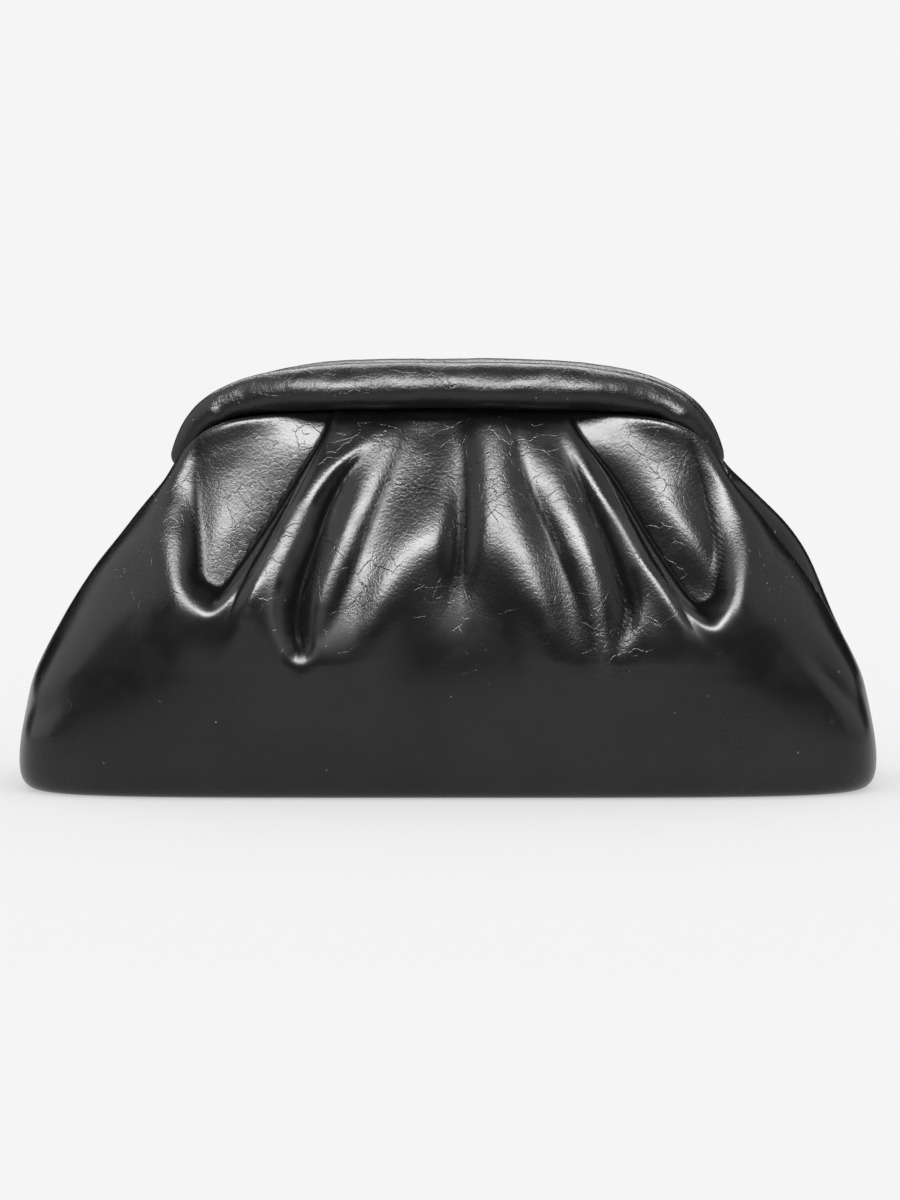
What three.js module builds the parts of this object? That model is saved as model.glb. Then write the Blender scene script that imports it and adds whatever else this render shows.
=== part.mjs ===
import * as THREE from 'three';

// Gathered leather clutch bag, closed. Millimetres, +Z up, front towards -Y, resting on its base at Z = 0.

// Driving sizes
const LEATHER = 1.6;            // thickness of the leather walls
const SEAM_GAP = 0.3;           // clearance between neighbouring pieces
const BASE_THICKNESS = 2.0;
const FRONT_COLUMNS = { side: 15, middle: 28 };
const FRONT_ROWS = 26;
const BACK_COLUMNS = { side: 11, middle: 16 };
const BACK_ROWS = 18;

// Level lines of a panel, from the hidden mouth edge down to the edge turned under the bag.
// centre and side: heights in the middle and at the side seam; halfWidth, halfDepth: plan size;
// cornerPuff: extra depth where the panel passes in front of the frame ends; square: plan squareness;
// droop: how late the line falls towards the side seam.
const LEVELS = [
  { centre: 149.1, side: 121.9, halfWidth: 109.8, halfDepth: 7.0, cornerPuff: 6.8, square: 5.0, droop: 10 },
  { centre: 149.0, side: 122.4, halfWidth: 111.0, halfDepth: 9.6, cornerPuff: 7.8, square: 5.0, droop: 10 },
  { centre: 147.3, side: 120.2, halfWidth: 112.8, halfDepth: 12.6, cornerPuff: 8.0, square: 4.6, droop: 9 },
  { centre: 142.0, side: 113.5, halfWidth: 117.8, halfDepth: 18.0, cornerPuff: 6.2, square: 4.2, droop: 7 },
  { centre: 133.0, side: 105.0, halfWidth: 125.5, halfDepth: 25.0, cornerPuff: 4.0, square: 3.8, droop: 5 },
  { centre: 121.0, side: 95.5, halfWidth: 134.5, halfDepth: 33.2, cornerPuff: 2.0, square: 3.5, droop: 4 },
  { centre: 107.5, side: 85.0, halfWidth: 143.0, halfDepth: 41.8, cornerPuff: 0.6, square: 3.3, droop: 3.5 },
  { centre: 94.0, side: 74.5, halfWidth: 149.5, halfDepth: 49.0, cornerPuff: 0.0, square: 3.3, droop: 3 },
  { centre: 80.0, side: 64.0, halfWidth: 155.0, halfDepth: 54.0, cornerPuff: 0.0, square: 3.5, droop: 3 },
  { centre: 66.0, side: 54.0, halfWidth: 160.0, halfDepth: 57.0, cornerPuff: 0.0, square: 3.8, droop: 3 },
  { centre: 53.0, side: 44.5, halfWidth: 164.2, halfDepth: 58.7, cornerPuff: 0.0, square: 4.1, droop: 3 },
  { centre: 40.0, side: 35.0, halfWidth: 166.8, halfDepth: 59.2, cornerPuff: 0.0, square: 4.4, droop: 3 },
  { centre: 26.0, side: 24.0, halfWidth: 168.8, halfDepth: 59.0, cornerPuff: 0.0, square: 4.6, droop: 3 },
  { centre: 14.0, side: 13.0, halfWidth: 170.0, halfDepth: 58.4, cornerPuff: 0.0, square: 4.6, droop: 3 },
  { centre: 6.0, side: 5.6, halfWidth: 169.4, halfDepth: 56.8, cornerPuff: 0.0, square: 4.6, droop: 3 },
  { centre: 1.7, side: 1.6, halfWidth: 167.0, halfDepth: 53.8, cornerPuff: 0.0, square: 4.6, droop: 3 },
  { centre: 0.0, side: 0.0, halfWidth: 163.0, halfDepth: 49.8, cornerPuff: 0.0, square: 4.6, droop: 3 },
  { centre: 0.0, side: 0.0, halfWidth: 158.0, halfDepth: 45.0, cornerPuff: 0.0, square: 4.6, droop: 3 },
];
const SAG_SHARE = 0.1;                       // share of a level line's fall that is an even sag
const PUFF_START = 0.42, PUFF_FULL = 0.8;    // where the corner puff begins and is full, as a share of the half width

// Folds are described at five heights, from the mouth down to the belly, and fade out below the last one.
const STATION_TOP = 148, STATION_STEP = 24;
const FADE = { start: 3.8, end: 5.1 };

// Pockets: sunk areas between two edges, closed below by a rounded lip.
// left and right: the edges' x at the stations; foot: height of the lip, lowest at footX and higher by footRise
// once footReach to either side; soft: how wide each edge rounds, at the mouth and at the foot.
const POCKETS = [
  { name: 'left tongue', left: [-110, -111, -107.5, -105, -103], right: [-44.5, -56.2, -69.5, -82, -92],
    foot: 68, footX: -91, footRise: 16, footReach: 24, mouthDepth: 1.2, footDepth: 12,
    softLeft: [12, 5], softRight: [1.2, 13], softFoot: 16 },
  { name: 'left valley', left: [-22, -48.6, -61.3, -68.5, -66], right: [-22, -29.3, -38.4, -46.5, -47],
    foot: 45, footX: -57.5, footRise: 16, footReach: 18, mouthDepth: 0.8, footDepth: 16,
    softLeft: [5, 13], softRight: [14, 16], softFoot: 19 },
  { name: 'right valley', left: [36, 40.5, 50, 56.5, 57], right: [46, 55.6, 69.3, 78, 78],
    foot: 48, footX: 65, footRise: 22, footReach: 14, mouthDepth: 0.8, footDepth: 10,
    softLeft: [14, 18], softRight: [5, 9], softFoot: 18 },
  { name: 'right tongue', left: [46.5, 61.9, 74.7, 88, 104], right: [106, 112, 116, 113, 110],
    foot: 62.5, footX: 100, footRise: 16, footReach: 22, mouthDepth: 1.2, footDepth: 12,
    softLeft: [1.2, 13], softRight: [12, 6], softFoot: 16 },
];
const PLEAT_WALL = 2.6;   // width of the mesh columns that follow the two crisp pleat edges

// Ridges, and valleys where the rise is below zero: x and rise at the stations, and half width.
const RIDGES = [
  { name: 'left shoulder', x: [-96, -111, -112, -106, -100], rise: [0, 0.6, 2, 1, 0], halfWidth: 8 },
  { name: 'left tongue', x: [-64, -77, -88, -94, -98], rise: [0.3, 1.2, 2.2, 1, 0], halfWidth: 17 },
  { name: 'left rim', x: [-42, -53, -66.5, -77, -84], rise: [0, 0.4, 1.2, 1.8, 0], halfWidth: 4 },
  { name: 'left fold', x: [-20, -48.6, -62, -70, -63], rise: [0.5, 1.2, 1.6, 2.6, 3.2], halfWidth: 8 },
  { name: 'long left', x: [-22, -29.3, -38.4, -46, -51], rise: [0.4, 1, 1.4, 2.8, 3.6], halfWidth: 8 },
  { name: 'left bulge', x: [-6, -8, -13, -24, -36], rise: [-3, -1.2, 2.4, 4, 3.8], halfWidth: 12 },
  { name: 'middle valley', x: [5, 6, 5, 3, 2], rise: [-0.8, -3, -4.2, -1.8, 0], halfWidth: 5.5 },
  { name: 'right bulge', x: [17, 19, 21, 26, 32], rise: [4, 3.8, 2.2, 0.6, 0], halfWidth: 11 },
  { name: 'right low bulge', x: [22, 25, 29, 35, 42], rise: [0, 0.2, 1.4, 3.6, 3.4], halfWidth: 10 },
  { name: 'long right', x: [36, 40.5, 50, 56.5, 60], rise: [-0.5, 1.4, 1.5, 2.6, 3.4], halfWidth: 7.5 },
  { name: 'right fold', x: [44, 55.6, 69.3, 78, 74], rise: [0.3, 1.4, 1.2, 0.3, 0], halfWidth: 3.5 },
  { name: 'right rim', x: [44, 60, 73, 86, 96], rise: [0, 0.4, 1.2, 1.8, 0], halfWidth: 4 },
  { name: 'right tongue', x: [62, 79, 97, 110, 112], rise: [0.5, 2, 3.8, 2, 0], halfWidth: 13 },
  { name: 'right shoulder', x: [97, 114, 120, 114, 108], rise: [0, 0.6, 2, 1, 0], halfWidth: 8 },
];

// Creases with a sharp bottom: x and depth at the stations, and how wide each side slopes.
const CREASES = [
  { name: 'left groove', x: [-47, -58.8, -72, -83, -88], depth: [0.8, 3, 4.5, 1.2, 0], left: 8, right: 3 },
  { name: 'left crease', x: [-13, -23, -33.5, -43.5, -52], depth: [0.4, 2.2, 3.2, 3.6, 1], left: 4.5, right: 11 },
  { name: 'right crease', x: [26, 31, 42, 51.5, 54.5], depth: [0.4, 2.4, 3, 3, 0.6], left: 9, right: 4.5 },
  { name: 'right groove', x: [49, 64.5, 77.5, 90, 98], depth: [0.8, 3, 4.5, 1.2, 0], left: 3, right: 8 },
];
const CREASE_TIP = 0.15;   // how blunt the bottom of a crease is, as a share of its side

// Soft swells (rise above zero) and dents (below): centre, half length, half width and turn in degrees.
const SWELLS = [
  { name: 'left belly', x: -88, z: 72, halfLength: 30, halfWidth: 20, turn: 0, rise: 3 },
  { name: 'right belly', x: 92, z: 60, halfLength: 30, halfWidth: 18, turn: 0, rise: 2.5 },
  { name: 'middle dome', x: 3, z: 82, halfLength: 18, halfWidth: 16, turn: 0, rise: -2 },
  { name: 'left corner dent', x: -159, z: 34, halfLength: 12, halfWidth: 5, turn: 20, rise: -1.6 },
  { name: 'right corner dent', x: 155, z: 44, halfLength: 18, halfWidth: 5, turn: -45, rise: -2.2 },
];

const FOLD_START = { level: 1, share: 0.1 };      // folds are pressed flat where the frame roll grips them
const FOLD_FULL_LEVEL = 3.2;
const FOLD_SIDE = { none: 84, full: 62 };         // degrees round the plan where the folds fade into the side
const TUCK = { depth: 11, halfWidth: 9, startLevel: 1.5, fullLevel: 3.5, easeLevel: 5.5, endLevel: 9.5 };
const BACK_FOLD_SHARE = 0.75;                     // the back is gathered more quietly than the front
const BACK_SHOULDER = { rise: 6.5, height: 98, halfHeight: 24, start: 20, full: 48 };

// The mouth frame: one arched leather roll for each half
const ARCH = [[0, 159.1], [84, 159.1], [97, 154.6], [106, 126.2]];   // control points of the right half, x and z
// Half height and half depth of the roll at even steps from the middle of the arch to its end;
// lean: how far its front is drawn down, so that it hangs over the folds.
const ROLL = { halfHeight: [9.2, 8.9, 7.0, 5.8, 5.0], halfDepth: [11, 10.6, 6.8, 5.2, 4.4], lean: 0.25 };
const ROLL_SECTIONS = 36, ROLL_SIDES = 12;
const ROLL_CAP = 0.05;                            // share of the half arch that rounds each end off
const CAP_ROUND = 0.84;                           // how much of the section each rounded end takes away
const ROLL_SHIFT = 1.6;                           // front crown leans left and back crown right by this much
const HINGE = { radius: 6, thickness: 2.2, x: 98.6, z: 123, sides: 20 };

const clamp01 = (t) => Math.min(1, Math.max(0, t));
const smooth = (from, to, value) => {
  const t = clamp01((value - from) / (to - from));
  return t * t * (3 - 2 * t);
};

// Smooth curve through evenly spaced values.
function through(values, position) {
  const last = values.length - 1;
  const p = Math.min(last, Math.max(0, position));
  const i = Math.min(last - 1, Math.floor(p));
  const t = p - i;
  const a = values[Math.max(0, i - 1)], b = values[i], c = values[i + 1], d = values[Math.min(last, i + 2)];
  return b + 0.5 * t * (c - a + t * (2 * a - 5 * b + 4 * c - d + t * (3 * (b - c) + d - a)));
}

const LEVEL_COLUMNS = Object.fromEntries(Object.keys(LEVELS[0]).map((key) => [key, LEVELS.map((row) => row[key])]));
const levelAt = (level, key) => through(LEVEL_COLUMNS[key], level);
const stationAt = (z) => (STATION_TOP - z) / STATION_STEP;

// Point of the unfolded panel: turn runs round the plan from -90 (left seam) to 90 degrees (right seam).
function formPoint(turn, level) {
  const square = levelAt(level, 'square');
  const s = Math.sin(THREE.MathUtils.degToRad(turn)), c = Math.cos(THREE.MathUtils.degToRad(turn));
  const norm = Math.pow(Math.pow(Math.abs(s), square) + Math.pow(Math.abs(c), square), 1 / square);
  const share = Math.abs(s) / norm;
  const depth = levelAt(level, 'halfDepth')
    + levelAt(level, 'cornerPuff') * smooth(PUFF_START, PUFF_FULL, share);
  const fall = SAG_SHARE * share * share + (1 - SAG_SHARE) * Math.pow(share, levelAt(level, 'droop'));
  const centre = levelAt(level, 'centre');
  return new THREE.Vector3(
    levelAt(level, 'halfWidth') * s / norm,
    -Math.max(SEAM_GAP / 2, depth * c / norm),
    Math.max(0, centre + (levelAt(level, 'side') - centre) * fall),
  );
}

// Outward direction of the unfolded panel.
function formNormal(turn, level) {
  const dTurn = 0.5, dLevel = 0.05, last = LEVELS.length - 1;
  const t0 = Math.max(-90, turn - dTurn), t1 = Math.min(90, turn + dTurn);
  const l0 = Math.max(0, level - dLevel), l1 = Math.min(last, level + dLevel);
  const along = formPoint(t1, level).sub(formPoint(t0, level));
  const down = formPoint(turn, l1).sub(formPoint(turn, l0));
  if (Math.abs(turn) > 90 - dTurn) {
    return new THREE.Vector3(-down.z, 0, down.x).multiplyScalar(Math.sign(turn)).normalize();
  }
  return down.cross(along).normalize();
}

// Height of the folds above the unfolded panel at a place seen from the front.
function foldRise(x, z) {
  const station = stationAt(z);
  const kept = 1 - smooth(FADE.start, FADE.end, station);
  let rise = 0;
  for (const ridge of RIDGES) {
    const offset = (x - through(ridge.x, station)) / ridge.halfWidth;
    rise += through(ridge.rise, station) * kept * Math.exp(-offset * offset);
  }
  for (const crease of CREASES) {
    const gap = x - through(crease.x, station);
    const offset = gap / (gap < 0 ? crease.left : crease.right);
    rise -= through(crease.depth, station) * kept * Math.exp(CREASE_TIP - Math.hypot(offset, CREASE_TIP));
  }
  for (const swell of SWELLS) {
    const angle = THREE.MathUtils.degToRad(swell.turn);
    const dx = x - swell.x, dz = z - swell.z;
    const along = (dx * Math.cos(angle) + dz * Math.sin(angle)) / swell.halfLength;
    const across = (dz * Math.cos(angle) - dx * Math.sin(angle)) / swell.halfWidth;
    rise += swell.rise * Math.exp(-along * along - across * across);
  }
  for (const pocket of POCKETS) rise -= pocketDepth(pocket, x, z);
  return rise;
}

// Depth of one pocket: full inside, easing to nothing over its two edges and its rounded foot.
function pocketDepth(pocket, x, z) {
  const station = stationAt(z);
  const down = clamp01((STATION_TOP - z) / (STATION_TOP - pocket.foot));
  const over = ([mouth, foot]) => THREE.MathUtils.lerp(mouth, foot, down);
  const footLine = pocket.foot + pocket.footRise * smooth(0, pocket.footReach, Math.abs(x - pocket.footX));
  const short = Math.hypot(
    1 - clamp01((x - through(pocket.left, station)) / over(pocket.softLeft)),
    1 - clamp01((through(pocket.right, station) - x) / over(pocket.softRight)),
    1 - clamp01((z - footLine) / pocket.softFoot),
  );
  return over([pocket.mouthDepth, pocket.footDepth]) * Math.pow(clamp01(1 - short), 2);
}

// Rise of a panel along its outward direction: folds on the face, a tuck down the side seam, a full shoulder behind.
function panelRise(turn, level, point, back) {
  const pressed = FOLD_START.share + (1 - FOLD_START.share) * smooth(FOLD_START.level, FOLD_FULL_LEVEL, level);
  const face = 1 - smooth(FOLD_SIDE.full, FOLD_SIDE.none, Math.abs(turn));
  const seam = Math.exp(-Math.pow(point.y / TUCK.halfWidth, 2));
  const tuck = TUCK.depth * seam * smooth(TUCK.startLevel, TUCK.fullLevel, level)
    * (1 - smooth(TUCK.easeLevel, TUCK.endLevel, level));
  let rise = foldRise(point.x, point.z) * pressed * face * (back ? BACK_FOLD_SHARE : 1) - tuck;
  if (back) {
    const height = (point.z - BACK_SHOULDER.height) / BACK_SHOULDER.halfHeight;
    rise += BACK_SHOULDER.rise * Math.exp(-height * height) * (1 - seam)
      * smooth(BACK_SHOULDER.start, BACK_SHOULDER.full, -turn);
  }
  return rise;
}

// Turn at which a level line crosses a pleat edge, found by halving.
function turnAtEdge(edge, level) {
  let low = -90, high = 90;
  for (let step = 0; step < 40; step++) {
    const middle = (low + high) / 2, point = formPoint(middle, level);
    if (point.x < through(edge, stationAt(point.z))) low = middle;
    else high = middle;
  }
  return (low + high) / 2;
}

// Turns of all mesh columns on one level: side, left pleat wall, middle, right pleat wall, side.
function columnTurns(level, columns) {
  const leftPleat = POCKETS[0], rightPleat = POCKETS[POCKETS.length - 1];
  const edges = [
    turnAtEdge(leftPleat.right.map((x) => x - PLEAT_WALL), level),
    turnAtEdge(leftPleat.right, level),
    turnAtEdge(rightPleat.left, level),
    turnAtEdge(rightPleat.left.map((x) => x + PLEAT_WALL), level),
  ];
  const turns = [];
  const crowding = 1.45;   // columns crowd towards the pleats and thin out round the side
  for (let i = columns.side; i > 0; i--) turns.push(edges[0] + (-90 - edges[0]) * Math.pow(i / columns.side, crowding));
  turns.push(edges[0]);
  for (let i = 0; i <= columns.middle; i++) turns.push(THREE.MathUtils.lerp(edges[1], edges[2], i / columns.middle));
  turns.push(edges[3]);
  for (let i = 1; i <= columns.side; i++) turns.push(edges[3] + (90 - edges[3]) * Math.pow(i / columns.side, crowding));
  return turns;
}

// Closed wall between an outer and an inner grid of points.
function wallGeometry(outer, inner) {
  const rows = outer.length, columns = outer[0].length, count = rows * columns;
  const positions = [...outer.flat(), ...inner.flat()].flatMap((point) => point.toArray());
  const index = [];
  const quad = (a, b, c, d) => index.push(a, b, c, a, c, d);
  const at = (grid, i) => grid[Math.floor(i / columns)][i % columns];
  for (let r = 0; r + 1 < rows; r++) {
    for (let c = 0; c + 1 < columns; c++) {
      const a = r * columns + c, b = a + columns;
      const slanted = at(outer, a).distanceTo(at(outer, b + 1)) <= at(outer, a + 1).distanceTo(at(outer, b));
      if (slanted) {
        quad(a, b, b + 1, a + 1);
        quad(count + b + 1, count + b, count + a, count + a + 1);
      } else {
        quad(b, b + 1, a + 1, a);
        quad(count + b, count + a, count + a + 1, count + b + 1);
      }
    }
    const left = r * columns, right = left + columns - 1;
    quad(left, count + left, count + left + columns, left + columns);
    quad(right, right + columns, count + right + columns, count + right);
  }
  for (let c = 0; c + 1 < columns; c++) {
    const bottom = (rows - 1) * columns + c;
    quad(c, c + 1, count + c + 1, count + c);
    quad(bottom, count + bottom, count + bottom + 1, bottom + 1);
  }
  const geometry = new THREE.BufferGeometry();
  geometry.setAttribute('position', new THREE.Float32BufferAttribute(positions, 3));
  geometry.setIndex(index);
  geometry.computeVertexNormals();
  return geometry;
}

// One leather panel; the back panel is the same form turned half a turn about the upright axis.
function panelGeometry(columns, rows, back) {
  const outer = [], inner = [];
  for (let row = 0; row <= rows; row++) {
    const level = (LEVELS.length - 1) * row / rows;
    const outerRow = [], innerRow = [];
    for (const turn of columnTurns(level, columns)) {
      const form = formPoint(turn, level), normal = formNormal(turn, level);
      const skin = form.clone().addScaledVector(normal, panelRise(turn, level, form, back));
      const flesh = skin.clone().addScaledVector(normal, -LEATHER);
      skin.y = Math.min(skin.y, -SEAM_GAP / 2);
      flesh.y = Math.min(flesh.y, -SEAM_GAP / 2);
      outerRow.push(skin);
      innerRow.push(flesh);
    }
    outer.push(outerRow);
    inner.push(innerRow);
  }
  const geometry = wallGeometry(outer, inner);
  if (back) geometry.rotateZ(Math.PI);
  return geometry;
}

// Flat bottom panel inside the turned-under edge of the two leather panels.
function baseGeometry() {
  const edge = LEVELS[LEVELS.length - 1], segments = 64;
  const points = [];
  for (let i = 0; i < segments; i++) {
    const angle = 2 * Math.PI * i / segments, c = Math.cos(angle), s = Math.sin(angle);
    const norm = Math.pow(Math.pow(Math.abs(c), edge.square) + Math.pow(Math.abs(s), edge.square), 1 / edge.square);
    points.push(new THREE.Vector2((edge.halfWidth - SEAM_GAP) * c / norm, (edge.halfDepth - SEAM_GAP) * s / norm));
  }
  return new THREE.ExtrudeGeometry(new THREE.Shape(points), { depth: BASE_THICKNESS, bevelEnabled: false });
}

// Leather roll of one frame half: a rounded section carried along the arch, smaller towards its rounded ends.
function rollGeometry(back) {
  const arch = new THREE.CubicBezierCurve(...ARCH.map(([x, z]) => new THREE.Vector2(x, z)));
  const positions = [], index = [];
  for (let i = 0; i <= ROLL_SECTIONS; i++) {
    const along = 2 * i / ROLL_SECTIONS - 1, reach = Math.abs(along);
    const point = arch.getPoint(reach), tangent = arch.getTangent(reach);
    const side = Math.sign(along) || 1;
    const shift = ROLL_SHIFT * (1 - Math.pow(reach, 4));
    const station = reach * (ROLL.halfHeight.length - 1);
    const inCap = clamp01((reach - 1 + ROLL_CAP) / ROLL_CAP);
    const cap = Math.sqrt(1 - CAP_ROUND * inCap * inCap);
    const halfHeight = through(ROLL.halfHeight, station), halfDepth = through(ROLL.halfDepth, station);
    for (let j = 0; j < ROLL_SIDES; j++) {
      const angle = 2 * Math.PI * j / ROLL_SIDES, c = Math.cos(angle), s = Math.sin(angle);
      const up = cap * halfHeight * s;
      const out = cap * halfDepth * c * (c > 0 ? 1 - ROLL.lean * s : 1);
      positions.push(
        side * (point.x - tangent.y * up) - shift,
        -(SEAM_GAP + halfDepth + out),
        point.y + tangent.x * up,
      );
    }
  }
  const ring = (i, j) => i * ROLL_SIDES + (j % ROLL_SIDES);
  for (let i = 0; i < ROLL_SECTIONS; i++) {
    for (let j = 0; j < ROLL_SIDES; j++) {
      index.push(ring(i, j), ring(i + 1, j + 1), ring(i, j + 1), ring(i, j), ring(i + 1, j), ring(i + 1, j + 1));
    }
  }
  for (let j = 1; j + 1 < ROLL_SIDES; j++) {
    index.push(ring(0, 0), ring(0, j), ring(0, j + 1));
    index.push(ring(ROLL_SECTIONS, 0), ring(ROLL_SECTIONS, j + 1), ring(ROLL_SECTIONS, j));
  }
  const geometry = new THREE.BufferGeometry();
  geometry.setAttribute('position', new THREE.Float32BufferAttribute(positions, 3));
  geometry.setIndex(index);
  if (back) geometry.rotateZ(Math.PI);
  geometry.computeVertexNormals();
  return geometry;
}

// Plain pivot disc on the inner side of the frame ends.
function hingeGeometry(side) {
  const geometry = new THREE.CylinderGeometry(HINGE.radius, HINGE.radius, HINGE.thickness, HINGE.sides);
  geometry.rotateZ(Math.PI / 2);
  geometry.translate(side * HINGE.x, 0, HINGE.z);
  return geometry;
}

const leather = new THREE.MeshStandardMaterial({ name: 'leather', color: 0x131315, roughness: 0.3, metalness: 0 });
const metal = new THREE.MeshStandardMaterial({ name: 'hinge_metal', color: 0x8c8c90, roughness: 0.35, metalness: 1 });

const bag = new THREE.Group();
bag.name = 'clutch_bag';
function add(name, geometry, material) {
  const mesh = new THREE.Mesh(geometry, material);
  mesh.name = name;
  bag.add(mesh);
}

add('body_front', panelGeometry(FRONT_COLUMNS, FRONT_ROWS, false), leather);
add('body_back', panelGeometry(BACK_COLUMNS, BACK_ROWS, true), leather);
add('base', baseGeometry(), leather);
add('frame_front', rollGeometry(false), leather);
add('frame_back', rollGeometry(true), leather);
add('hinge_left', hingeGeometry(-1), metal);
add('hinge_right', hingeGeometry(1), metal);

export default bag;
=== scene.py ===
import bpy
import numpy as np
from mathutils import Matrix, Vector


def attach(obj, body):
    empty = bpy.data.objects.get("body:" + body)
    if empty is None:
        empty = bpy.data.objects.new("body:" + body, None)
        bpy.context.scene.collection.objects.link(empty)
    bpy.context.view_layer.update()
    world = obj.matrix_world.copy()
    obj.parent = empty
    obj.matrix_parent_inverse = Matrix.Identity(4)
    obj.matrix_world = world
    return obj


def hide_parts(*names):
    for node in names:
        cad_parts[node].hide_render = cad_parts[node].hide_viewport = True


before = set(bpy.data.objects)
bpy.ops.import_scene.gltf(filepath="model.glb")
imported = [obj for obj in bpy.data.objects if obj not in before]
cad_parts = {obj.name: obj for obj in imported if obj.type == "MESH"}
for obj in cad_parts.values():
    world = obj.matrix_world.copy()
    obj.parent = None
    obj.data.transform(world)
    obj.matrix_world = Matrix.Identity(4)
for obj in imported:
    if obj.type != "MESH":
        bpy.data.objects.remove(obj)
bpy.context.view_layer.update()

# Front leather panel
# One piece of thin glossy leather: turned in under the mouth roll, laid into knife pleats and soft gathers
# over the upper half, full and smooth over the belly, and turned under the bag to meet the base.
MM = 0.001
LEATHER_THICK = 1.6
SEAM_GAP = 0.3

LEVEL_COLUMNS = ("centre", "side", "half_width", "half_depth", "corner_puff", "square", "droop")
LEVEL_ROWS = (
    (149.1, 121.9, 109.8, 7.0, 6.8, 5.0, 10.0),
    (149.0, 122.4, 111.0, 9.6, 7.8, 5.0, 10.0),
    (147.3, 120.2, 112.8, 12.6, 8.0, 4.6, 9.0),
    (142.0, 113.5, 117.8, 18.0, 6.2, 4.2, 7.0),
    (133.0, 105.0, 125.5, 25.0, 4.0, 3.8, 5.0),
    (121.0, 95.5, 134.5, 33.2, 2.0, 3.5, 4.0),
    (107.5, 85.0, 143.0, 41.8, 0.6, 3.3, 3.5),
    (94.0, 74.5, 149.5, 49.0, 0.0, 3.3, 3.0),
    (80.0, 64.0, 155.0, 54.0, 0.0, 3.5, 3.0),
    (66.0, 54.0, 160.0, 57.0, 0.0, 3.8, 3.0),
    (53.0, 44.5, 164.2, 58.7, 0.0, 4.1, 3.0),
    (40.0, 35.0, 166.8, 59.2, 0.0, 4.4, 3.0),
    (26.0, 24.0, 168.8, 59.0, 0.0, 4.6, 3.0),
    (14.0, 13.0, 170.0, 58.4, 0.0, 4.6, 3.0),
    (6.0, 5.6, 169.4, 56.8, 0.0, 4.6, 3.0),
    (1.7, 1.6, 167.0, 53.8, 0.0, 4.6, 3.0),
    (0.0, 0.0, 163.0, 49.8, 0.0, 4.6, 3.0),
    (0.0, 0.0, 158.0, 45.0, 0.0, 4.6, 3.0),
)
LEVELS = dict(zip(LEVEL_COLUMNS, np.array(LEVEL_ROWS).T))
LAST_LEVEL = len(LEVEL_ROWS) - 1
SAG_SHARE = 0.1
PUFF_START, PUFF_FULL = 0.42, 0.8

STATION_TOP, STATION_STEP = 148.0, 24.0
FADE_START, FADE_END = 3.8, 5.1
POCKETS = (
    dict(name="left tongue", left=(-110, -111, -107.5, -105, -103), right=(-44.5, -56.2, -69.5, -82, -92),
         foot=68, foot_x=-91, foot_rise=16, foot_reach=24, mouth_depth=1.2, foot_depth=12,
         soft_left=(12, 5), soft_right=(1.2, 13), soft_foot=16),
    dict(name="left valley", left=(-22, -48.6, -61.3, -68.5, -66), right=(-22, -29.3, -38.4, -46.5, -47),
         foot=45, foot_x=-57.5, foot_rise=16, foot_reach=18, mouth_depth=0.8, foot_depth=16,
         soft_left=(5, 13), soft_right=(14, 16), soft_foot=19),
    dict(name="right valley", left=(36, 40.5, 50, 56.5, 57), right=(46, 55.6, 69.3, 78, 78),
         foot=48, foot_x=65, foot_rise=22, foot_reach=14, mouth_depth=0.8, foot_depth=10,
         soft_left=(14, 18), soft_right=(5, 9), soft_foot=18),
    dict(name="right tongue", left=(46.5, 61.9, 74.7, 88, 104), right=(106, 112, 116, 113, 110),
         foot=62.5, foot_x=100, foot_rise=16, foot_reach=22, mouth_depth=1.2, foot_depth=12,
         soft_left=(1.2, 13), soft_right=(12, 6), soft_foot=16),
)
RIDGES = (
    dict(name="left shoulder", x=(-96, -111, -112, -106, -100), rise=(0, 0.6, 2, 1, 0), half_width=8),
    dict(name="left tongue", x=(-64, -77, -88, -94, -98), rise=(0.3, 1.2, 2.2, 1, 0), half_width=17),
    dict(name="left rim", x=(-42, -53, -66.5, -77, -84), rise=(0, 0.4, 1.2, 1.8, 0), half_width=4),
    dict(name="left fold", x=(-20, -48.6, -62, -70, -63), rise=(0.5, 1.2, 1.6, 2.6, 3.2), half_width=8),
    dict(name="long left", x=(-22, -29.3, -38.4, -46, -51), rise=(0.4, 1, 1.4, 2.8, 3.6), half_width=8),
    dict(name="left bulge", x=(-6, -8, -13, -24, -36), rise=(-3, -1.2, 2.4, 4, 3.8), half_width=12),
    dict(name="middle valley", x=(5, 6, 5, 3, 2), rise=(-0.8, -3, -4.2, -1.8, 0), half_width=5.5),
    dict(name="right bulge", x=(17, 19, 21, 26, 32), rise=(4, 3.8, 2.2, 0.6, 0), half_width=11),
    dict(name="right low bulge", x=(22, 25, 29, 35, 42), rise=(0, 0.2, 1.4, 3.6, 3.4), half_width=10),
    dict(name="long right", x=(36, 40.5, 50, 56.5, 60), rise=(-0.5, 1.4, 1.5, 2.6, 3.4), half_width=7.5),
    dict(name="right fold", x=(44, 55.6, 69.3, 78, 74), rise=(0.3, 1.4, 1.2, 0.3, 0), half_width=3.5),
    dict(name="right rim", x=(44, 60, 73, 86, 96), rise=(0, 0.4, 1.2, 1.8, 0), half_width=4),
    dict(name="right tongue", x=(62, 79, 97, 110, 112), rise=(0.5, 2, 3.8, 2, 0), half_width=13),
    dict(name="right shoulder", x=(97, 114, 120, 114, 108), rise=(0, 0.6, 2, 1, 0), half_width=8),
)
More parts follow.
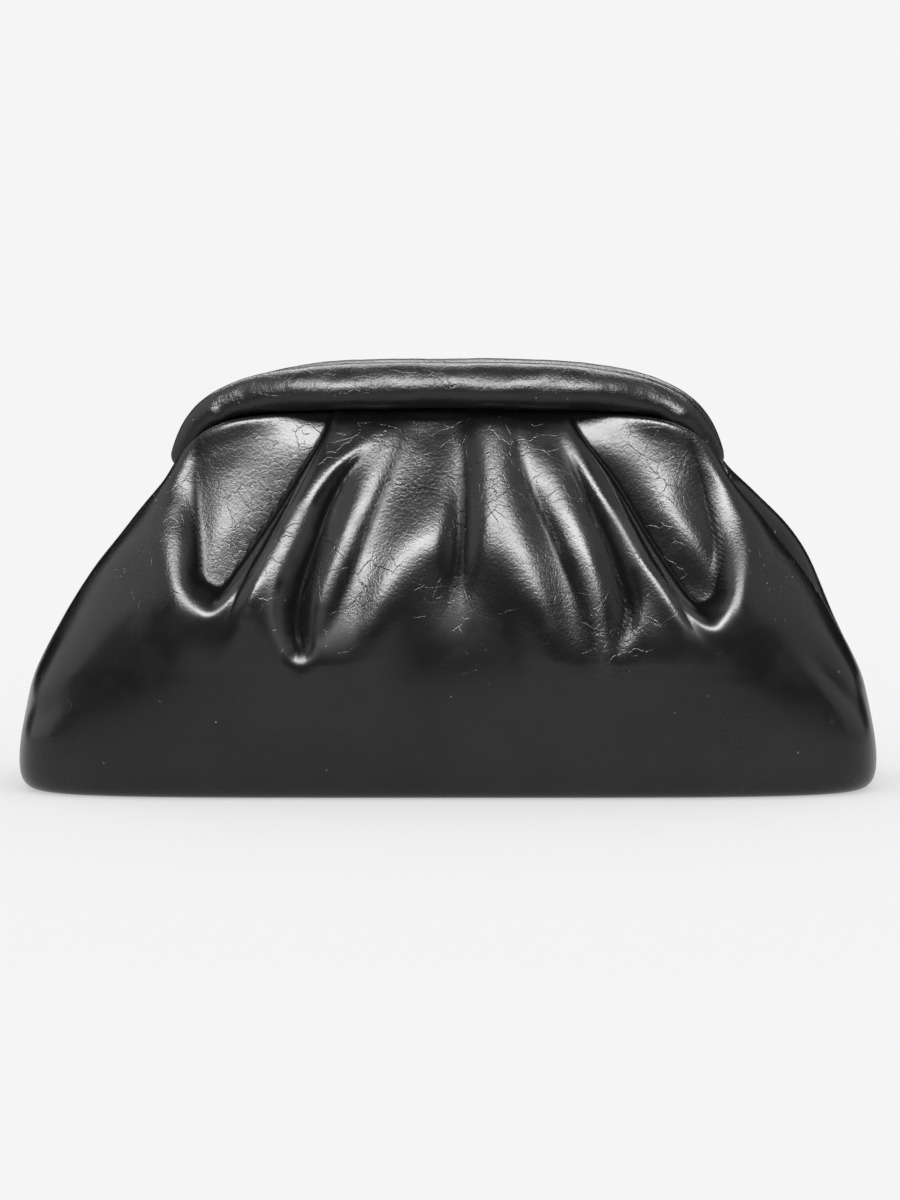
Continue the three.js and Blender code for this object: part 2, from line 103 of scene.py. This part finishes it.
CREASES = (
    dict(name="left groove", x=(-47, -58.8, -72, -83, -88), depth=(0.8, 3, 4.5, 1.2, 0), left=8, right=3),
    dict(name="left crease", x=(-13, -23, -33.5, -43.5, -52), depth=(0.4, 2.2, 3.2, 3.6, 1),
         left=4.5, right=11),
    dict(name="right crease", x=(26, 31, 42, 51.5, 54.5), depth=(0.4, 2.4, 3, 3, 0.6), left=9, right=4.5),
    dict(name="right groove", x=(49, 64.5, 77.5, 90, 98), depth=(0.8, 3, 4.5, 1.2, 0), left=3, right=8),
)
CREASE_TIP = 0.15
SWELLS = (
    dict(name="left belly", x=-88, z=72, half_length=30, half_width=20, turn=0, rise=3),
    dict(name="right belly", x=92, z=60, half_length=30, half_width=18, turn=0, rise=2.5),
    dict(name="middle dome", x=3, z=82, half_length=18, half_width=16, turn=0, rise=-2),
    dict(name="left corner dent", x=-159, z=34, half_length=12, half_width=5, turn=20, rise=-1.6),
    dict(name="right corner dent", x=155, z=44, half_length=18, half_width=5, turn=-45, rise=-2.2),
)
FOLD_START_LEVEL, FOLD_START_SHARE, FOLD_FULL_LEVEL = 1.0, 0.1, 3.2
FOLD_SIDE_FULL, FOLD_SIDE_NONE = 62.0, 84.0
TUCK = dict(depth=11.0, half_width=9.0, start=1.5, full=3.5, ease=5.5, end=9.5)
BACK_FOLD_SHARE = 0.75
BACK_SHOULDER = dict(rise=6.5, height=98.0, half_height=24.0, start=20.0, full=48.0)
PLEAT_WALL = 2.6
FOLD_ROWS, BELLY_LEVEL, BELLY_ROWS = 110, 10, 25
SIDE_COLUMNS, PLEAT_COLUMNS, MIDDLE_COLUMNS = 95, 5, 112
RELAX_TIMES = 3
SIDE_CROWDING = 1.45
EDGE_HALVINGS = 40


def smooth(low, high, value):
    """Eased step from 0 at low to 1 at high: three times the square less twice the cube."""
    t = np.clip((value - low) / (high - low), 0, 1)
    return t * t * (3 - 2 * t)


def through(values, position):
    """Smooth curve through evenly spaced values: the cubic that passes through its two nearest neighbours."""
    v = np.asarray(values, float)
    last = len(v) - 1
    p = np.clip(position, 0, last)
    i = np.minimum(p.astype(int), last - 1)
    t = p - i
    a, b, c, d = v[np.maximum(i - 1, 0)], v[i], v[i + 1], v[np.minimum(i + 2, last)]
    return b + 0.5 * t * (c - a + t * (2 * a - 5 * b + 4 * c - d + t * (3 * (b - c) + d - a)))


def form_point(turn, level):
    """Point of the panel before it is folded: on each level line the plan is a squared ellipse, turn degrees
    round it from the left seam at -90 to the right seam at 90, and the line falls towards the seams."""
    at = {key: through(column, level) for key, column in LEVELS.items()}
    s, c = np.sin(np.radians(turn)), np.cos(np.radians(turn))
    norm = (np.abs(s) ** at["square"] + np.abs(c) ** at["square"]) ** (1 / at["square"])
    share = np.abs(s) / norm
    depth = at["half_depth"] + at["corner_puff"] * smooth(PUFF_START, PUFF_FULL, share)
    fall = SAG_SHARE * share ** 2 + (1 - SAG_SHARE) * share ** at["droop"]
    x = at["half_width"] * s / norm
    y = -np.maximum(SEAM_GAP / 2, depth * c / norm)
    z = np.maximum(0, at["centre"] + (at["side"] - at["centre"]) * fall)
    return np.stack([x, y, z], axis=-1)


def form_normal(turn, level):
    """Outward direction of the unfolded panel: across the line down the panel and the line along it."""
    step_turn, step_level = 0.5, 0.05
    along = (form_point(np.minimum(90, turn + step_turn), level)
             - form_point(np.maximum(-90, turn - step_turn), level))
    down = (form_point(turn, np.minimum(LAST_LEVEL, level + step_level))
            - form_point(turn, np.maximum(0, level - step_level)))
    normal = np.cross(down, along)
    sideways = np.stack([-down[..., 2], np.zeros_like(turn), down[..., 0]], axis=-1)
    sideways *= np.sign(turn)[..., None]
    normal = np.where(np.abs(turn)[..., None] > 90 - step_turn, sideways, normal)
    return normal / np.linalg.norm(normal, axis=-1, keepdims=True)


def fold_rise(x, z):
    """Height of the folds above the unfolded panel: bell-shaped ridges and soft swells, less sharp-bottomed
    creases and less the pockets, each sunk by the square of the way in from its edges and rounded foot."""
    station = (STATION_TOP - z) / STATION_STEP
    kept = 1 - smooth(FADE_START, FADE_END, station)
    rise = np.zeros_like(x)
    for ridge in RIDGES:
        offset = (x - through(ridge["x"], station)) / ridge["half_width"]
        rise += through(ridge["rise"], station) * kept * np.exp(-offset ** 2)
    for crease in CREASES:
        offset = x - through(crease["x"], station)
        offset = offset / np.where(offset < 0, crease["left"], crease["right"])
        wedge = np.exp(CREASE_TIP - np.sqrt(offset ** 2 + CREASE_TIP ** 2))
        rise -= through(crease["depth"], station) * kept * wedge
    for swell in SWELLS:
        c, s = np.cos(np.radians(swell["turn"])), np.sin(np.radians(swell["turn"]))
        dx, dz = x - swell["x"], z - swell["z"]
        along = (dx * c + dz * s) / swell["half_length"]
        across = (dz * c - dx * s) / swell["half_width"]
        rise += swell["rise"] * np.exp(-along ** 2 - across ** 2)
    for pocket in POCKETS:
        down = np.clip((STATION_TOP - z) / (STATION_TOP - pocket["foot"]), 0, 1)
        over = lambda pair: pair[0] + (pair[1] - pair[0]) * down
        left = (x - through(pocket["left"], station)) / over(pocket["soft_left"])
        right = (through(pocket["right"], station) - x) / over(pocket["soft_right"])
        lift = smooth(0, pocket["foot_reach"], np.abs(x - pocket["foot_x"]))
        foot = (z - pocket["foot"] - pocket["foot_rise"] * lift) / pocket["soft_foot"]
        short = np.sqrt(sum((1 - np.clip(reach, 0, 1)) ** 2 for reach in (left, right, foot)))
        rise -= over((pocket["mouth_depth"], pocket["foot_depth"])) * np.clip(1 - short, 0, 1) ** 2
    return rise


def panel_rise(turn, level, point, back):
    """How far the leather stands off the unfolded panel: the folds, pressed flat near the mouth and fading
    round the side, less the tuck down the side seam, and on the back panel one fuller shoulder."""
    x, y, z = np.moveaxis(point, -1, 0)
    pressed = FOLD_START_SHARE + (1 - FOLD_START_SHARE) * smooth(FOLD_START_LEVEL, FOLD_FULL_LEVEL, level)
    face = 1 - smooth(FOLD_SIDE_FULL, FOLD_SIDE_NONE, np.abs(turn))
    seam = np.exp(-(y / TUCK["half_width"]) ** 2)
    tuck = (TUCK["depth"] * seam * smooth(TUCK["start"], TUCK["full"], level)
            * (1 - smooth(TUCK["ease"], TUCK["end"], level)))
    rise = fold_rise(x, z) * pressed * face * (BACK_FOLD_SHARE if back else 1) - tuck
    if back:
        height = (z - BACK_SHOULDER["height"]) / BACK_SHOULDER["half_height"]
        rise += (BACK_SHOULDER["rise"] * np.exp(-height ** 2) * (1 - seam)
                 * smooth(BACK_SHOULDER["start"], BACK_SHOULDER["full"], -turn))
    return rise


def relaxed(heights):
    """Rounds off what is sharper than the grid: a few times over, each inner point takes half of its own
    height and an eighth of each of its four neighbours'."""
    heights = heights.copy()
    for _ in range(RELAX_TIMES):
        neighbours = heights[:-2, 1:-1] + heights[2:, 1:-1] + heights[1:-1, :-2] + heights[1:-1, 2:]
        heights[1:-1, 1:-1] = heights[1:-1, 1:-1] / 2 + neighbours / 8
    return heights


def turn_at_edge(edge, offset, level):
    """Turn at which each level line crosses a pleat edge moved sideways by offset, found by halving."""
    low, high = np.full_like(level, -90), np.full_like(level, 90)
    for _ in range(EDGE_HALVINGS):
        middle = (low + high) / 2
        point = form_point(middle, level)
        before = point[..., 0] < through(edge, (STATION_TOP - point[..., 2]) / STATION_STEP) + offset
        low, high = np.where(before, middle, low), np.where(before, high, middle)
    return (low + high) / 2


def panel_grid():
    """Turns and levels of the mesh: columns follow the two pleat edges and crowd towards them."""
    level = np.concatenate([np.linspace(0, BELLY_LEVEL, FOLD_ROWS, endpoint=False),
                            np.linspace(BELLY_LEVEL, LAST_LEVEL, BELLY_ROWS + 1)])
    first, last = POCKETS[0], POCKETS[-1]
    edges = [
        turn_at_edge(first["right"], -PLEAT_WALL, level),
        turn_at_edge(first["right"], 0, level),
        turn_at_edge(last["left"], 0, level),
        turn_at_edge(last["left"], PLEAT_WALL, level),
    ]
    side = np.linspace(0, 1, SIDE_COLUMNS + 1) ** SIDE_CROWDING
    pleat = np.linspace(0, 1, PLEAT_COLUMNS + 1)[1:-1]
    middle = np.linspace(0, 1, MIDDLE_COLUMNS + 1)
    between = lambda a, b, t: a[:, None] + (b - a)[:, None] * t[None, :]
    left_seam, right_seam = np.full_like(level, -90), np.full_like(level, 90)
    turn = np.concatenate([
        between(edges[0], left_seam, side[::-1]),
        between(edges[0], edges[1], pleat),
        between(edges[1], edges[2], middle),
        between(edges[2], edges[3], pleat),
        between(edges[3], right_seam, side),
    ], axis=1)
    return turn, np.broadcast_to(level[:, None], turn.shape)


def wall_mesh(name, outer, inner):
    """Closed leather wall: an outer grid of points, an inner one, and a strip round the edge between them."""
    rows, columns = outer.shape[:2]
    count = rows * columns
    place = np.arange(count).reshape(rows, columns)
    a, b, c, d = place[:-1, :-1], place[1:, :-1], place[1:, 1:], place[:-1, 1:]
    skin = np.stack([a, b, c, d], axis=-1).reshape(-1, 4)
    flesh = np.stack([a, d, c, b], axis=-1).reshape(-1, 4) + count
    ring = np.concatenate([place[0, :-1], place[:-1, -1], place[-1, :0:-1], place[:0:-1, 0]])
    following = np.roll(ring, -1)
    rim = np.stack([ring, following, following + count, ring + count], axis=-1)
    mesh = bpy.data.meshes.new(name)
    points = np.concatenate([outer.reshape(-1, 3), inner.reshape(-1, 3)]) * MM
    mesh.from_pydata(points, [], np.concatenate([skin, flesh, rim]))
    mesh.shade_smooth()
    piece = bpy.data.objects.new(name, mesh)
    bpy.context.scene.collection.objects.link(piece)
    return piece


CRUMPLES = (
    dict(name="upper middle", x=-12, z=124, half_length=15, half_width=18, share=0.55),
    dict(name="left bulge", x=-24, z=84, half_length=16, half_width=18, share=0.12),
    dict(name="right middle", x=38, z=92, half_length=16, half_width=24, share=0.2),
    dict(name="right valley foot", x=62, z=66, half_length=13, half_width=14, share=0.5),
    dict(name="right tongue", x=88, z=112, half_length=20, half_width=24, share=0.12),
    dict(name="left shoulder", x=-108, z=106, half_length=14, half_width=18, share=0.2),
)
CRUMPLE_LOW, CRUMPLE_HIGH, CRUMPLE_EVEN = 58.0, 90.0, 0.1
CURVE_RING = 2.0
# Painted shade in the creases: how sharply the folds must curve inwards before a dark matt finish is mixed in
# there
CREASE_SHADE_LOW, CREASE_SHADE_HIGH = 0.02, 0.26
WORN_LOW, WORN_HIGH = 0.04, 0.25


def crumple_share(x, z):
    """How wrinkled the finish is: nothing on the belly, an even share over the folded part, more in spots."""
    share = CRUMPLE_EVEN * smooth(CRUMPLE_LOW, CRUMPLE_HIGH, z)
    for spot in CRUMPLES:
        share += spot["share"] * np.exp(-((x - spot["x"]) / spot["half_length"]) ** 2
                                        - ((z - spot["z"]) / spot["half_width"]) ** 2)
    return np.clip(share, 0, 1)


def fold_curve(x, z):
    """How far the folds curve inwards: the height of a ring of four places round a place above that place
    itself;
    it is below zero on the crests."""
    ring = CURVE_RING
    around = fold_rise(x - ring, z) + fold_rise(x + ring, z) + fold_rise(x, z - ring) + fold_rise(x, z + ring)
    return (around - 4 * fold_rise(x, z)) / ring ** 2


def note_on(piece, name, values):
    """Keeps one number a vertex under a name that a material can read, for the outer and the inner points."""
    both = np.tile(np.ravel(values), 2).astype(np.float32)
    piece.data.attributes.new(name, "FLOAT", "POINT").data.foreach_set("value", both)


def panel_piece(name, back):
    """One leather panel; the back one is the same form turned half a turn about the upright axis."""
    turn, level = panel_grid()
    form, normal = form_point(turn, level), form_normal(turn, level)
    skin = form + normal * relaxed(panel_rise(turn, level, form, back))[..., None]
    flesh = skin - normal * LEATHER_THICK
    for surface in (skin, flesh):
        surface[..., 1] = np.minimum(surface[..., 1], -SEAM_GAP / 2)
        if back:
            surface[..., :2] *= -1
    piece = wall_mesh(name, skin, flesh)
    note_on(piece, "crumpled", crumple_share(form[..., 0], form[..., 2]))
    curve = relaxed(fold_curve(form[..., 0], form[..., 2]))
    # painted shade: where the folds curve inwards, a share of dark matt finish that stands in for the shade
    # inside the creases
    note_on(piece, "crease_shade", smooth(CREASE_SHADE_LOW, CREASE_SHADE_HIGH, curve))
    note_on(piece, "worn", smooth(WORN_LOW, WORN_HIGH, -curve))
    return piece


class Wire:
    """A socket of one material; arithmetic on it adds Math nodes to that material."""

    def __init__(self, tree, socket):
        self.tree, self.socket = tree, socket

    def node(self, kind, settings=None, out=0, **sockets):
        """Add a node: its settings first, then the values or links of its sockets, named in words or by
        number as i0, i1; gives one of its outputs."""
        made = self.tree.nodes.new(kind)
        for key, value in (settings or {}).items():
            setattr(made, key, value)
        for key, value in sockets.items():
            numbered = key[0] == "i" and key[1:].isdigit()
            place = made.inputs[int(key[1:]) if numbered else key.replace("_", " ")]
            if isinstance(value, Wire):
                self.tree.links.new(value.socket, place)
            else:
                place.default_value = value
        return Wire(self.tree, made.outputs[out])

    def math(self, operation, first, second):
        """One sum, difference or product of two values or sockets."""
        return self.node("ShaderNodeMath", {"operation": operation}, i0=first, i1=second)

    def __add__(self, other):
        return self.math("ADD", self, other)

    def __sub__(self, other):
        return self.math("SUBTRACT", self, other)

    def __rsub__(self, other):
        return self.math("SUBTRACT", other, self)

    def __mul__(self, other):
        return self.math("MULTIPLY", self, other)

    __radd__, __rmul__ = __add__, __mul__

    def step(self, low, high):
        """Eased step of this value from 0 at low to 1 at high."""
        return self.node("ShaderNodeMapRange", {"interpolation_type": "SMOOTHSTEP"},
                         Value=self, From_Min=low, From_Max=high)


def new_finish(name):
    """A new material with its Principled shader; gives the material, the shader and Object coordinates."""
    finish = bpy.data.materials.new(name)
    finish.use_nodes = True
    tree = finish.node_tree
    tree.nodes.clear()
    shader = tree.nodes.new("ShaderNodeBsdfPrincipled")
    output = tree.nodes.new("ShaderNodeOutputMaterial")
    tree.links.new(shader.outputs["BSDF"], output.inputs["Surface"])
    place = Wire(tree, tree.nodes.new("ShaderNodeTexCoord").outputs["Object"])
    return finish, shader, place


LEATHER_IOR = 1.4
LEATHER_GREY = dict(even=0.008, mottle=0.005, rubbed=0.02, dust=0.2)
LEATHER_BLUE = 1.06
ROUGHER = dict(patches=0.05, rubbed=0.06)
HEIGHT = dict(peel=0.12, pebble=0.12, folded_pebble=0.06, even_pebble=0.008,
              crackle=0.022, long_crack=0.06, scratch=0.05)
DRIFT = (0.006, 0.006, 0.006)
# Painted shade in the creases: how much of the gloss gives way to a dark matt finish there, and its colour
CREASE_SHADE_SHARE = 0.96
CREASE_SHADE_COLOUR = (0.01, 0.01, 0.01, 1)


def leather_finish(name, stretch, gloss):
    """Glossy black leather: fine grain, meandering wrinkles and crackle lines where it is crumpled, a few
    scratches and specks, greyer rubbed crests, and painted shade in the hollows, a dark matt finish mixed in
    over the gloss. Heights are in millimetres; stretch gives how dense the wrinkles are along each axis, and
    gloss the least roughness."""
    finish, shader, place = new_finish(name)
    tree = finish.node_tree
    shader.inputs["IOR"].default_value = LEATHER_IOR
    crumpled = place.node("ShaderNodeAttribute", {"attribute_name": "crumpled"}, out="Fac")
    crease_shade = place.node("ShaderNodeAttribute", {"attribute_name": "crease_shade"}, out="Fac")
    worn = place.node("ShaderNodeAttribute", {"attribute_name": "worn"}, out="Fac")
    drift = place.node("ShaderNodeTexNoise", Vector=place, Scale=140.0, Detail=3.0, out="Color")
    moved = place.node("ShaderNodeVectorMath", {"operation": "MULTIPLY_ADD"}, i0=drift, i1=DRIFT, i2=place)
    across = place.node("ShaderNodeVectorMath", {"operation": "MULTIPLY"}, i0=moved, i1=stretch)
    peel = place.node("ShaderNodeTexNoise", Vector=across, Scale=600.0, Detail=1.0, Roughness=0.5)
    pebble = place.node("ShaderNodeTexNoise", Vector=place, Scale=850.0, Detail=2.0, Roughness=0.6)
    noise = lambda scale, detail: place.node("ShaderNodeTexNoise", Vector=place, Scale=scale, Detail=detail)
    edge = lambda scale, width: 1 - place.node(
        "ShaderNodeTexVoronoi", {"feature": "DISTANCE_TO_EDGE"}, Vector=moved, Scale=scale).step(0.0, width)
    patches = noise(55.0, 2.0).step(0.42, 0.6)
    long_patches = noise(40.0, 1.0).step(0.46, 0.56)
    few_patches = noise(26.0, 2.0).step(0.54, 0.62)
    breaks = noise(170.0, 1.0).step(0.5, 0.58)
    clouds = place.node("ShaderNodeTexNoise", Vector=place, Scale=22.0, Detail=4.0, Roughness=0.6)
    mottle = clouds.step(0.35, 0.7)
    specks = place.node("ShaderNodeTexVoronoi", {"feature": "F1"}, Vector=place, Scale=90.0)
    dust = (1 - specks.step(0.025, 0.04)) * patches
    cracks = (edge(300.0, 0.1) * patches * HEIGHT["crackle"]
              + edge(95.0, 0.022) * long_patches * HEIGHT["long_crack"])
    scratches = edge(110.0, 0.025) * few_patches * breaks
    folded = crumpled.step(0.02, 0.1)
    rubbed = worn * patches
    height = ((peel * HEIGHT["peel"] + pebble * HEIGHT["pebble"]) * crumpled
              + (pebble * HEIGHT["folded_pebble"] - cracks) * folded
              + pebble * HEIGHT["even_pebble"] - scratches * HEIGHT["scratch"])
    grey = (LEATHER_GREY["even"] + mottle * LEATHER_GREY["mottle"] + rubbed * LEATHER_GREY["rubbed"]
            + dust * LEATHER_GREY["dust"])
    colour = place.node("ShaderNodeCombineColor", Red=grey, Green=grey, Blue=grey * LEATHER_BLUE)
    bump = place.node("ShaderNodeBump", Strength=1.0, Distance=MM, Height=height)
    rough = patches * ROUGHER["patches"] + rubbed * ROUGHER["rubbed"] + gloss
    tree.links.new(colour.socket, shader.inputs["Base Color"])
    tree.links.new(bump.socket, shader.inputs["Normal"])
    tree.links.new(rough.socket, shader.inputs["Roughness"])
    # Painted shade: where the folds curve inwards, a dark matt finish takes the place of most of the gloss,
    # standing in for the shade in the creases
    crease_shade_finish = place.node("ShaderNodeBsdfDiffuse", Color=CREASE_SHADE_COLOUR)
    glossy = Wire(tree, shader.outputs["BSDF"])
    mixed = place.node("ShaderNodeMixShader", Fac=crease_shade * CREASE_SHADE_SHARE, i1=glossy, i2=crease_shade_finish)
    tree.links.new(mixed.socket, tree.nodes["Material Output"].inputs["Surface"])
    return finish


leather = leather_finish("panel_leather", stretch=(0.8, 1.0, 1.0), gloss=0.25)
body_front = panel_piece("front_panel", back=False)
body_front.data.materials.append(leather)
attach(body_front, "root")
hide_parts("body_front")

# Back leather panel
# The same leather cut as the front, gathered more quietly, with a fuller shoulder on the side that shows past
# the front; sewn to the front down both side seams.
body_back = panel_piece("back_panel", back=True)
body_back.data.materials.append(leather)
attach(body_back, "root")
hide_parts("body_back")

# Base
# The flat leather bottom the bag stands on, set inside the turned-under edges of the two panels.
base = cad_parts["base"]
base.material_slots[0].material = leather

# Mouth frame rolls
# Two arched halves, each a stiff bar wrapped in padding and the same leather, closed against each other; the
# leather is drawn tight along the bar and crumples where the arch turns down to the hinges.
ARCH = np.array([(0, 159.1), (84, 159.1), (97, 154.6), (106, 126.2)])
ROLL = dict(half_height=(9.2, 8.9, 7.0, 5.8, 5.0), half_depth=(11.0, 10.6, 6.8, 5.2, 4.4), lean=0.25)
ROLL_CAP, CAP_ROUND = 0.05, 0.84
ROLL_SHIFT, SHIFT_POWER = 1.6, 4
ROLL_WAVES = (
    dict(length=57.0, turns=2, start=0.1, rise=0.2),
    dict(length=31.0, turns=-3, start=0.4, rise=0.13),
    dict(length=13.0, turns=2, start=0.7, rise=0.05),
    dict(length=8.5, turns=-3, start=0.2, rise=0.035),
    dict(length=5.3, turns=2, start=0.5, rise=0.03),
)
ROLL_SWELLS = (
    dict(name="left crumple", along=-0.64, half_along=0.05, angle=-25, half_angle=50, rise=1.2),
    dict(name="right crumple", along=0.68, half_along=0.08, angle=-10, half_angle=60, rise=2.2),
)
ROLL_CRUMPLE = dict(middle=0.6, more=0.2, start=0.5, full=0.7)
ROLL_SECTIONS, ROLL_SIDES = 320, 56


def arch_at(reach):
    """Point and direction of the right half of the arch: a cubic Bezier curve with four control points, at
    a share of the way along it."""
    t = reach[..., None]
    p0, p1, p2, p3 = ARCH
    point = p0 * (1 - t) ** 3 + 3 * p1 * t * (1 - t) ** 2 + 3 * p2 * t ** 2 * (1 - t) + p3 * t ** 3
    way = (p1 - p0) * (1 - t) ** 2 + 2 * (p2 - p1) * t * (1 - t) + (p3 - p2) * t ** 2
    return point, way / np.linalg.norm(way, axis=-1, keepdims=True)


def roll_piece(name, back):
    """A rounded section carried along the arch, smaller towards its ends, with small waves on its outer side
    and a crumple or two; a flat cap closes each rounded end."""
    along, angle = np.meshgrid(np.linspace(-1, 1, ROLL_SECTIONS + 1),
                               np.linspace(0, 2 * np.pi, ROLL_SIDES, endpoint=False), indexing="ij")
    reach, side = np.abs(along), np.where(along < 0, -1.0, 1.0)
    point, way = arch_at(reach)
    station = reach * (len(ROLL["half_height"]) - 1)
    cap = np.sqrt(1 - np.clip((reach - 1 + ROLL_CAP) / ROLL_CAP, 0, 1) ** 2 * CAP_ROUND)
    half_height, half_depth = through(ROLL["half_height"], station), through(ROLL["half_depth"], station)
    wave = np.zeros_like(along)
    for ripple in ROLL_WAVES:
        way_along = point[..., 0] * side / ripple["length"] + ripple["start"]
        wave += ripple["rise"] * np.sin(2 * np.pi * way_along + ripple["turns"] * angle)
    wave *= 0.5 + 0.5 * np.cos(angle)
    for swell in ROLL_SWELLS:
        gap = (along - swell["along"]) / swell["half_along"]
        turned = np.angle(np.exp(1j * (angle - np.radians(swell["angle"])))) / np.radians(swell["half_angle"])
        wave += swell["rise"] * np.exp(-gap ** 2 - turned ** 2)
    up = cap * (half_height + wave) * np.sin(angle)
    leaning = 1 - ROLL["lean"] * np.sin(angle) * (np.cos(angle) > 0)
    out = cap * (half_depth + wave) * np.cos(angle) * leaning
    x = side * (point[..., 0] - way[..., 1] * up) - ROLL_SHIFT * (1 - reach ** SHIFT_POWER)
    y = -(SEAM_GAP + half_depth + out)
    z = point[..., 1] + way[..., 0] * up
    skin = np.stack([x, y, z], axis=-1)
    if back:
        skin[..., :2] *= -1
    rows, columns = skin.shape[:2]
    place = np.arange(rows * columns).reshape(rows, columns)
    following = np.roll(place, -1, axis=1)
    quads = np.stack([place[:-1], place[1:], following[1:], following[:-1]], axis=-1).reshape(-1, 4)
    ends = [list(place[0]), list(place[-1][::-1])]
    mesh = bpy.data.meshes.new(name)
    mesh.from_pydata(skin.reshape(-1, 3) * MM, [], quads.tolist() + ends)
    mesh.shade_smooth()
    piece = bpy.data.objects.new(name, mesh)
    bpy.context.scene.collection.objects.link(piece)
    more = ROLL_CRUMPLE["more"] * smooth(ROLL_CRUMPLE["start"], ROLL_CRUMPLE["full"], reach)
    crumpled = (ROLL_CRUMPLE["middle"] + more).astype(np.float32).ravel()
    mesh.attributes.new("crumpled", "FLOAT", "POINT").data.foreach_set("value", crumpled)
    return piece


roll_leather = leather_finish("roll_leather", stretch=(1.6, 0.6, 0.6), gloss=0.31)
for half, back in (("front", False), ("back", True)):
    roll = roll_piece(half + "_roll", back)
    roll.data.materials.append(roll_leather)
    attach(roll, "root")
    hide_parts("frame_" + half)

# Hinges
# A plain satin steel disc inside each end of the mouth, where the two frame halves pivot.
steel, steel_shader, steel_place = new_finish("satin_steel")
steel_shader.inputs["Base Color"].default_value = (0.55, 0.55, 0.57, 1)
steel_shader.inputs["Metallic"].default_value = 1.0
STEEL_ROUGH, STREAK_ROUGH, STREAK_STRETCH = 0.25, 0.25, (1.0, 0.05, 1.0)
brushed = steel_place.node("ShaderNodeVectorMath", {"operation": "MULTIPLY"},
                           i0=steel_place, i1=STREAK_STRETCH)
streaks = steel_place.node("ShaderNodeTexNoise", Vector=brushed, Scale=3000.0, Detail=2.0)
steel.node_tree.links.new((streaks * STREAK_ROUGH + STEEL_ROUGH).socket, steel_shader.inputs["Roughness"])
for side in ("left", "right"):
    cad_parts["hinge_" + side].material_slots[0].material = steel

# Floor, light and camera
# A pale, faintly glowing paper floor under an even white dome that the gloss doesn't see, soft boxes that
# only the gloss sees, and a long lens a little above level.
PAPER_HALF, PAPER_GREY, PAPER_GLOW = 12.0, 0.5, 0.456
sheet_of_paper = bpy.data.meshes.new("floor")
sheet_of_paper.from_pydata([(-PAPER_HALF, -PAPER_HALF, 0), (PAPER_HALF, -PAPER_HALF, 0),
                            (PAPER_HALF, PAPER_HALF, 0), (-PAPER_HALF, PAPER_HALF, 0)], [], [(0, 1, 2, 3)])
floor = bpy.data.objects.new("floor", sheet_of_paper)
bpy.context.scene.collection.objects.link(floor)
paper, paper_shader, _ = new_finish("pale_paper")
paper_shader.inputs["Base Color"].default_value = (PAPER_GREY, PAPER_GREY, PAPER_GREY, 1)
paper_shader.inputs["Emission Color"].default_value = (PAPER_GLOW, PAPER_GLOW, PAPER_GLOW, 1)
paper_shader.inputs["Emission Strength"].default_value = 1.0
paper_shader.inputs["Roughness"].default_value = 1.0
paper_shader.inputs["Specular IOR Level"].default_value = 0.0
floor.data.materials.append(paper)

DOME = 0.915
world = bpy.data.worlds.new("studio")
world.use_nodes = True
world.node_tree.nodes["Background"].inputs["Color"].default_value = (DOME, DOME, DOME, 1)
bpy.context.scene.world = world
world.cycles_visibility.glossy = False
bpy.context.scene.view_settings.view_transform = "Standard"


LIGHT_DISTANCE, LIGHT_AIM = 1.6, Vector((0, 0, 0.09))


def soft_box(name, elevation, turn, wide, high, radiance):
    """A rectangular light at an elevation and a turn round the bag in degrees, 0 being straight in front;
    wide and high are the angles it covers as seen from the bag, and only gloss sees it."""
    lamp = bpy.data.lights.new(name, "AREA")
    lamp.shape = "RECTANGLE"
    lamp.size = 2 * LIGHT_DISTANCE * np.tan(np.radians(wide / 2))
    lamp.size_y = 2 * LIGHT_DISTANCE * np.tan(np.radians(high / 2))
    lamp.energy = radiance * np.pi * lamp.size * lamp.size_y
    e, t = np.radians(elevation), np.radians(turn)
    away = Vector((np.sin(t) * np.cos(e), -np.cos(t) * np.cos(e), np.sin(e)))
    light = bpy.data.objects.new(name, lamp)
    light.location = LIGHT_AIM + away * LIGHT_DISTANCE
    light.rotation_euler = away.to_track_quat("Z", "Y").to_euler()
    light.visible_diffuse = False
    light.visible_camera = False
    bpy.context.scene.collection.objects.link(light)


soft_box("front_soft_box", elevation=52, turn=0, wide=60, high=16, radiance=37)
soft_box("left_soft_box", elevation=30, turn=-95, wide=50, high=60, radiance=1.3)
soft_box("right_soft_box", elevation=30, turn=95, wide=50, high=60, radiance=0.8)
soft_box("back_soft_box", elevation=50, turn=180, wide=60, high=20, radiance=9)

camera = bpy.data.cameras.new("camera")
camera.sensor_fit = "HORIZONTAL"
camera.sensor_width = 36.0
CAMERA_DISTANCE, CAMERA_RISE, FRAME_WIDTH = 2.2, 6.0, 0.3587
CAMERA_AIM_X, CAMERA_AIM_Z = 0.0008, 0.0726
camera.lens = camera.sensor_width * CAMERA_DISTANCE / FRAME_WIDTH
camera.clip_start = 0.05
view = bpy.data.objects.new("camera", camera)
rise = np.radians(CAMERA_RISE)
view.location = (CAMERA_AIM_X, -CAMERA_DISTANCE * np.cos(rise), CAMERA_AIM_Z + CAMERA_DISTANCE * np.sin(rise))
view.rotation_euler = (np.pi / 2 - rise, 0, 0)
bpy.context.scene.collection.objects.link(view)
bpy.context.scene.camera = view
